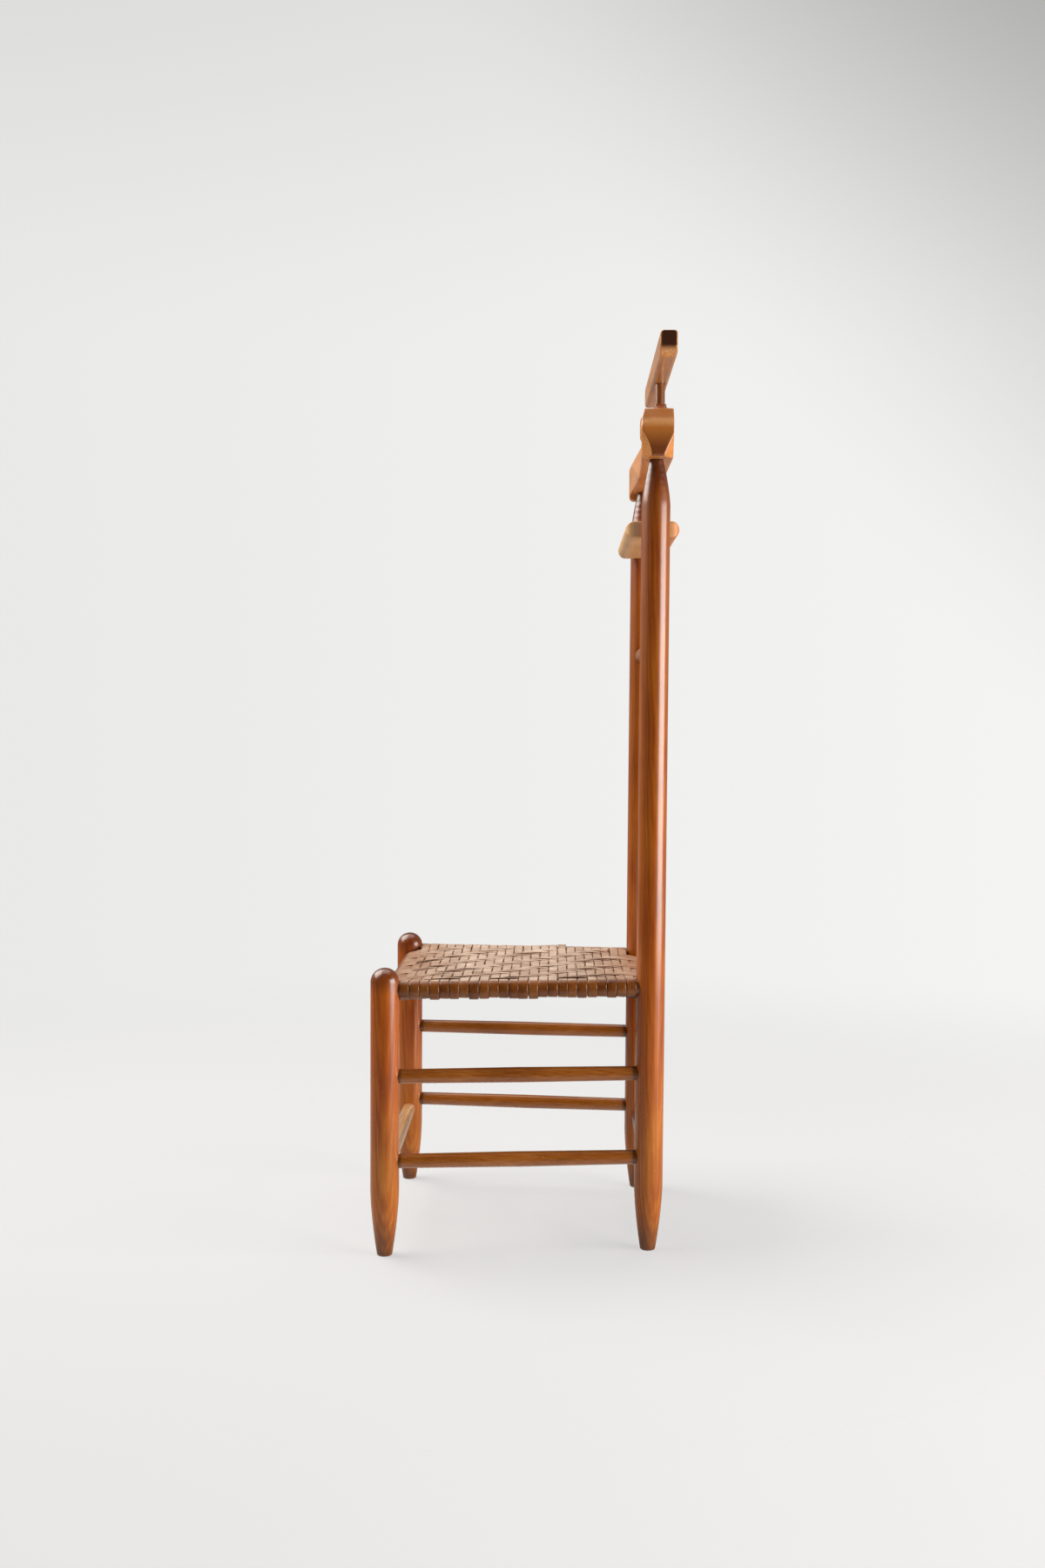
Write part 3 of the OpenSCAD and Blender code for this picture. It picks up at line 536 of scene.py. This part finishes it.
hideLook = {
    # the top and side colours are one hide: the pinkish tan on top is painted light and sheen, the dark
    # brown on the sides painted shade
    "top": "C2A793", "topDark": "9E8069", "topLight": "D8C2AE",
    "side": "7C4412", "sideDark": "582A08", "sideLight": "8F5522", "frontRearBrown": "96633E",
    "edge": "D9B08A", "rim": 0.75, "cut": "5E3A24",
    # length of a fibre mark, width of a cloud, of a patch of the darker front and rear, and of a patch of
    # pale rim
    "fibreMm": 30, "cloudMm": 30, "frontRearMm": 50, "rimMm": 22,
    "fibresAcross": 13, "relief": 0.0004,  # marks across one strip, and their height in metres
    "fibreShare": 0.34, "cloudShare": 0.57, "ownShare": 0.09,  # of the tone
    # metres from the seat's middle where the darker front and rear start and are full, how ragged that is,
    # and its share
    "middleY": (frontY + rearY) / 2, "frontRearFrom": 0.17, "frontRearTo": 0.31, "ragged": 0.16, "frontRearDarker": 0.85,
    # the pale rim of painted highlight and the cut side, in strip widths from its middle line
    "rimBand": (0.45, 0.478), "cutBand": (0.484, 0.492),
    "litTopFrom": 0.88, "litTopTo": 0.985, "roughSide": 0.30, "roughTop": 0.5,
    # strips per metre across each direction, and the count at its middle line
    "perMetre": {"y": 1 / weftPitch, "x": 1 / warpPitch},
    "start": {"y": -weftStart / weftPitch, "x": seat["warpCount"] / 2},
}
weftHide = stripHide("Hide strip, worn, side to side", hideLook, "y")
warpHide = stripHide("Hide strip, worn, front to rear", hideLook, "x")
print("hides made")


def weftY(i):
    return weftStart + (i + 0.5) * weftPitch


def warpX(j):
    return (j - (seat["warpCount"] - 1) / 2) * warpPitch


# the side rails close in towards the rear
def railX(y):
    return frontHalf - (y - frontY) * splay


# how far back a strip reaches that starts in front at x
def warpStop(x):
    inside = frontHalf - seat["level"] - seat["railRoom"] - abs(x) - warpPitch / 2
    return min(rearY - postRadius - seat["postRoom"], frontY + inside / splay)


def isFull(j):
    return abs(warpX(j)) + warpPitch / 2 < rearHalf - postRadius


# 1 where the strip from side to side is on top, -1 where it is under, 0 where the two don't cross
def shows(i, j):
    if not isFull(j) and weftY(i) + weftPitch / 2 > warpStop(warpX(j)):
        return 0
    return 1 if (i + j) % (2 * seat["over"]) < seat["over"] else -1


def rampIn(t):
    t = max(0.0, min(1.0, t))
    return t * t * (3 - 2 * t)


def nearRail(t):
    past = max(0.0, min(abs(t), 1.0) - seat["flat"]) / (1 - seat["flat"])
    return past ** seat["steepness"]


# the weave saddles down from the side rails to the lower cross rails
def sink(x, y):
    v = (y - (frontRail + rearRail) / 2) / ((rearRail - frontRail) / 2)
    return (sideZ - crossZ) * (1 + nearRail(v) - nearRail(x / railX(y))) / 2


# place, height and tilt of a strip along one run: a short arch over each float
def upperRun(crossings, pitch, blade):
    line = []
    first = 0
    while first < len(crossings):
        sign = crossings[first][1]
        last = first
        while last + 1 < len(crossings) and crossings[last + 1][1] == sign:
            last += 1
        start = crossings[first][0] - seat["dive"] * pitch
        end = crossings[last][0] + seat["dive"] * pitch
        bow = tilt = 0
        if sign > 0:
            bow = seatRandom.uniform(0.3, 1.0) * seat["bow"] * (last - first) / 2
            tilt = seatRandom.uniform(-1, 1) * seat["tilt"] + seatRandom.uniform(0.2, 1) * blade
        steps = 4 * (last - first) + 3
        for n in range(steps + 1):
            t = n / steps
            arch = math.sin(math.pi * t)
            height = sign * seat["lift"] + bow * arch
            line.append((start + (end - start) * t, height, tilt * min(1, 2.5 * arch)))
        first = last + 1
    return line


# half a turn round a rail, standing off it a little in places
def wrapRound(path, u, first, swell=0.0, droop=0.0):
    bulge = seatRandom.uniform(0, seat["bulge"])
    tip = seatRandom.uniform(-seat["tip"], seat["tip"])
    for k in range(seat["turnSteps"] + 1):
        bend = math.pi * k / seat["turnSteps"]
        outU, outW = math.cos(first - bend), math.sin(first - bend)
        soft = math.sin(bend)
        r = seat["level"] + bulge * soft + swell * max(0.0, outW) + droop * max(0.0, -outW)
        path.append((u + r * outU, r * outW, outU, outW, tip * soft))


# once round the two rails at u0 and u1: place along and above, the way out of the strip, and its tilt
def loopPath(u0, u1, top, low, roundEnd, sag=0.0, swell=0.0):
    path = []
    for u, height, tilt in top:
        loose = swell * max(0, 1 - abs(u - u0) / seat["looseReach"])
        path.append((u, seat["level"] + height + loose, 0, 1, tilt))
    if roundEnd:
        wrapRound(path, u1, math.pi / 2, droop=sag)
    for u, height, tilt in reversed(low):
        loose = sag * max(0, 1 - abs(u1 - u) / seat["looseReach"])
        path.append((u, -(seat["level"] + height + loose), 0, -1, tilt))
    wrapRound(path, u0, -math.pi / 2, swell)
    return path


# section of a cut strip, in half widths and half thicknesses: flat faces, rounded narrow edges
section = [(-1, 0.1), (-0.965, 0.8), (-0.86, 1), (-0.4, 1), (0.4, 1), (0.86, 1), (0.965, 0.8), (1, 0.1)]
section += [(v, -d) for v, d in reversed(section)]


def addStrip(mesh, uvLayer, path, width, toWorld, closed=True):
    phase = seatRandom.uniform(0, 6.28)
    rings, runs = [], [0.0]
    for n, (u, w, outU, outW, tilt) in enumerate(path):
        if n:
            runs.append(runs[-1] + math.hypot(u - path[n - 1][0], w - path[n - 1][1]))
        drift = seat["wander"] * math.sin(runs[n] * seat["wanderTurns"] + phase)
        uneven = seat["widthShare"] * math.sin(runs[n] * seat["widthTurns"] + phase * 3)
        half = width / 2 * (1 + uneven)
        ring = []
        for v, d in section:
            out = d * seat["thick"] / 2 + tilt * v - seat["cup"] * v * v
            ring.append(mesh.verts.new(toWorld(u + outU * out, v * half + drift, w + outW * out)))
        rings.append(ring)
    if closed:
        rings.append(rings[0])
        runs.append(runs[-1] + seat["seam"])
    for n in range(len(rings) - 1):
        a, b = rings[n], rings[n + 1]
        for k, (v, _) in enumerate(section):
            m = (k + 1) % len(section)
            face = mesh.faces.new((a[k], a[m], b[m], b[k]))
            face.smooth = True
            nextV = section[m][0]
            spots = ((runs[n], v), (runs[n], nextV), (runs[n + 1], nextV), (runs[n + 1], v))
            for corner, (along, across) in zip(face.loops, spots):
                corner[uvLayer].uv = (along + phase, 0.5 + across / 2)
    if not closed:
        for ring in (rings[0], rings[-1]):
            mesh.faces.new(ring)


# where a point of a strip lies: u along it, v across it, w above its rails' axes
def weftPoint(y, u, v, w):
    settle = rampIn((railX(y) - abs(u)) / seat["settle"])
    return u, y + v, sideZ + w - settle * sink(u, y + v)


def warpPoint(x, u, v, w):
    settle = rampIn((u - frontRail) / seat["settle"]) * rampIn((rearRail - u) / seat["settle"])
    return x + v, u, crossZ + w + settle * (sideZ - crossZ - sink(x + v, u))


def finishStrips(name, mesh, material, replaced):
    bmesh.ops.recalc_face_normals(mesh, faces=mesh.faces)
    data = bpy.data.meshes.new(name)
    mesh.to_mesh(data)
    mesh.free()
    data.materials.append(material)
    piece = addObject(name, data)
    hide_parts(*replaced)
    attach(piece, "root")
    print(name, "made,", len(data.polygons), "faces")


def weaveWeft():
    mesh = bmesh.new()
    uvLayer = mesh.loops.layers.uv.new("strip")
    for i in range(seat["weftCount"]):
        y = weftY(i)
        reach = railX(y)
        crossings = [(warpX(j), shows(i, j)) for j in range(seat["warpCount"]) if shows(i, j)]
        top, low = upperRun(crossings, warpPitch, 0), upperRun(crossings, warpPitch, 0)
        path = loopPath(-reach, reach, top, low, True,
                        sag=seatRandom.choice(seat["droops"]), swell=seat["humps"].get(i, 0))
        addStrip(mesh, uvLayer, path, weftPitch - seat["gap"], partial(weftPoint, y))
    finishStrips("seatWeft", mesh, weftHide, ["seat_weft"])


def weaveWarp():
    mesh = bmesh.new()
    uvLayer = mesh.loops.layers.uv.new("strip")
    for j in range(seat["warpCount"]):
        full = isFull(j)
        crossings = [(weftY(i), -shows(i, j)) for i in range(seat["weftCount"]) if shows(i, j)]
        if not crossings:
            continue
        top, low = upperRun(crossings, weftPitch, seat["blade"]), upperRun(crossings, weftPitch, 0)
        path = loopPath(frontRail, rearRail, top, low, full)
        if not full:  # open where it is tucked in at the side rail
            path = path[len(top):] + path[:len(top)]
        addStrip(mesh, uvLayer, path, warpPitch - seat["gap"], partial(warpPoint, warpX(j)), closed=full)
    finishStrips("seatWarp", mesh, warpHide, ["seat_warp", "seat_short_warp_left", "seat_short_warp_right"])


weaveWeft()
weaveWarp()


# plain studio: matt paper underfoot that fades into a white wall
studio = {
    "floor": "D0D0D2", "floorRadius": 3.6, "floorRough": 0.85,
    "floorShows": 0.37, "floorFade": (0.5, 3.0),  # metres from the chair over which it fades
    "air": "FFFCF8",  # colour of the light that comes back from wall and floor
    # what each side sends back to the chair: axis, where it starts and ends, most and least share of white
    "wallBeyond": (0, -0.8, 0.35, 0.22, 0.04),
    "wallInFront": (1, -0.9, -0.3, 0.1, 0.0),
    "paperBelow": (2, -0.85, -0.25, 0.82, 0.0),
    # the wall that the camera sees: its tones, how light it is at the left and right, and its shade above
    "wallTones": [(0.0, "A0A0A0"), (0.5, "D2D2D1"), (1.0, "FAFAF9")],
    "wallLeft": 0.78, "wallRight": 0.92, "topShade": 0.2, "cornerShade": 0.72, "cornerLean": 0.9,
}


def makeFloor():
    mesh = bmesh.new()
    bmesh.ops.create_circle(mesh, cap_ends=True, segments=96, radius=studio["floorRadius"])
    data = bpy.data.meshes.new("floor")
    mesh.to_mesh(data)
    mesh.free()
    floor = addObject("floor", data)
    material, tree = newMaterial("Paper floor, matt")
    place = addNode(tree, "ShaderNodeTexCoord").outputs["Object"]
    distance = addNode(tree, "ShaderNodeVectorMath", {0: place}, operation="LENGTH").outputs["Value"]
    near, far = studio["floorFade"]
    fade = addNode(tree, "ShaderNodeMapRange", {
        "Value": distance, "From Min": near, "From Max": far,
        "To Min": studio["floorShows"], "To Max": 0.0}, interpolation_type="SMOOTHSTEP")
    shader = addNode(tree, "ShaderNodeBsdfPrincipled", {
        "Base Color": hexColor(studio["floor"]), "Roughness": studio["floorRough"],
        "Alpha": fade.outputs[0]})
    finishMaterial(tree, shader)
    data.materials.append(material)


# light that the room sends back: the white wall stands beyond the chair and to its front, and
# the room is dim on this side
def roomLight(tree, direction):
    light = 0.0
    for side in ("wallBeyond", "wallInFront", "paperBelow"):
        axis, start, end, most, least = studio[side]
        share = addNode(tree, "ShaderNodeMapRange", {
            "Value": direction.outputs[axis], "From Min": start, "From Max": end,
            "To Min": most, "To Max": least}, interpolation_type="SMOOTHSTEP").outputs[0]
        light = addNode(tree, "ShaderNodeMath", {0: light, 1: share}, operation="MAXIMUM").outputs[0]
    return light


# tone of the wall itself: darker towards the top, most of all at the upper right
def wallTone(tree, direction):
    tone = addNode(tree, "ShaderNodeMapRange", {
        "Value": direction.outputs[1], "From Min": -0.3, "From Max": 0.3,
        "To Min": studio["wallLeft"], "To Max": studio["wallRight"]})
    top = addNode(tree, "ShaderNodeMapRange", {
        "Value": direction.outputs[2], "From Min": 0.2, "From Max": 0.46, "To Max": studio["topShade"]},
        interpolation_type="SMOOTHSTEP")
    corner = addNode(tree, "ShaderNodeMath", {
        0: direction.outputs[2], 1: studio["cornerLean"], 2: direction.outputs[1]},
        operation="MULTIPLY_ADD")
    corner = addNode(tree, "ShaderNodeMapRange", {
        "Value": corner.outputs[0], "From Min": 0.26, "From Max": 0.72, "To Max": studio["cornerShade"]},
        interpolation_type="SMOOTHSTEP")
    for shade in (top, corner):
        tone = addNode(tree, "ShaderNodeMath", {0: tone.outputs[0], 1: shade.outputs[0]},
                       operation="SUBTRACT")
    return tone.outputs[0]


def makeWorld():
    world = bpy.data.worlds.new("studio")
    bpy.context.scene.world = world
    world.use_nodes = True
    tree = world.node_tree
    tree.nodes.clear()
    direction = addNode(tree, "ShaderNodeTexCoord").outputs["Generated"]
    direction = addNode(tree, "ShaderNodeSeparateXYZ", {0: direction})
    lit = addNode(tree, "ShaderNodeBackground", {
        "Color": hexColor(studio["air"]), "Strength": roomLight(tree, direction)})
    wall = setRamp(addNode(tree, "ShaderNodeValToRGB", {0: wallTone(tree, direction)}), studio["wallTones"])
    seen = addNode(tree, "ShaderNodeBackground", {"Color": wall.outputs[0], "Strength": 1.0})
    camera = addNode(tree, "ShaderNodeLightPath").outputs["Is Camera Ray"]
    mix = addNode(tree, "ShaderNodeMixShader", {0: camera, 1: lit.outputs[0], 2: seen.outputs[0]})
    out = addNode(tree, "ShaderNodeOutputWorld")
    tree.links.new(mix.outputs[0], out.inputs[0])


lamps = {
    # name: place, aim, width, height, watts, colour
    "windowFront": ((-0.6, -2.3, 3.0), (0.0, 0.0, 0.6), 3.2, 2.6, 168, "FFFAF3"),
    "windowRear": ((1.2, 2.65, 0.87), (0.0, 0.0, 0.8), 2.3, 1.6, 106, "FFF9F3"),
    "ceiling": ((-0.6, 0.0, 3.2), (0.0, 0.0, 0.4), 2.2, 2.2, 30, "FFFFFF"),
}


def makeLamps():
    for name, (place, aim, width, height, watts, color) in lamps.items():
        light = bpy.data.lights.new(name, "AREA")
        light.shape = "RECTANGLE"
        light.size, light.size_y = width, height
        light.energy = watts
        light.color = hexColor(color)[:3]
        lamp = addObject(name, light)
        lamp.location = place
        lamp.rotation_euler = (Vector(aim) - Vector(place)).to_track_quat("-Z", "Y").to_euler()


# camera, solved from the four feet and the post tops
picture = {
    "place": (2.818, 0.0456, 0.824),  # metres, at the chair's own left
    "yaw": -1.1108,  # degrees
    "pitch": 1.9331,
    "roll": 0.2225,
    "frame": 36,  # mm, height of the film
    "lens": 38.57,  # mm
}


# it looks along -X: yaw turns it sideways, pitch down, and roll about its own axis
def makeCamera():
    yaw, pitch, roll = (math.radians(picture[angle]) for angle in ("yaw", "pitch", "roll"))
    ahead = Vector((-math.cos(yaw) * math.cos(pitch), math.sin(yaw) * math.cos(pitch), -math.sin(pitch)))
    right = Vector((math.sin(yaw), math.cos(yaw), 0))
    up = right.cross(ahead)
    right, up = math.cos(roll) * right + math.sin(roll) * up, math.cos(roll) * up - math.sin(roll) * right
    data = bpy.data.cameras.new("camera")
    data.sensor_fit = "VERTICAL"
    data.sensor_width = data.sensor_height = picture["frame"]
    data.lens = picture["lens"]
    camera = addObject("camera", data)
    turn = Matrix((right, up, -ahead)).transposed().to_4x4()
    camera.matrix_world = Matrix.Translation(picture["place"]) @ turn
    bpy.context.scene.camera = camera


makeFloor()
makeWorld()
makeLamps()
makeCamera()
bpy.context.scene.view_settings.view_transform = "Standard"
print("floor, lamps and camera placed")

bpy.context.view_layer.update()
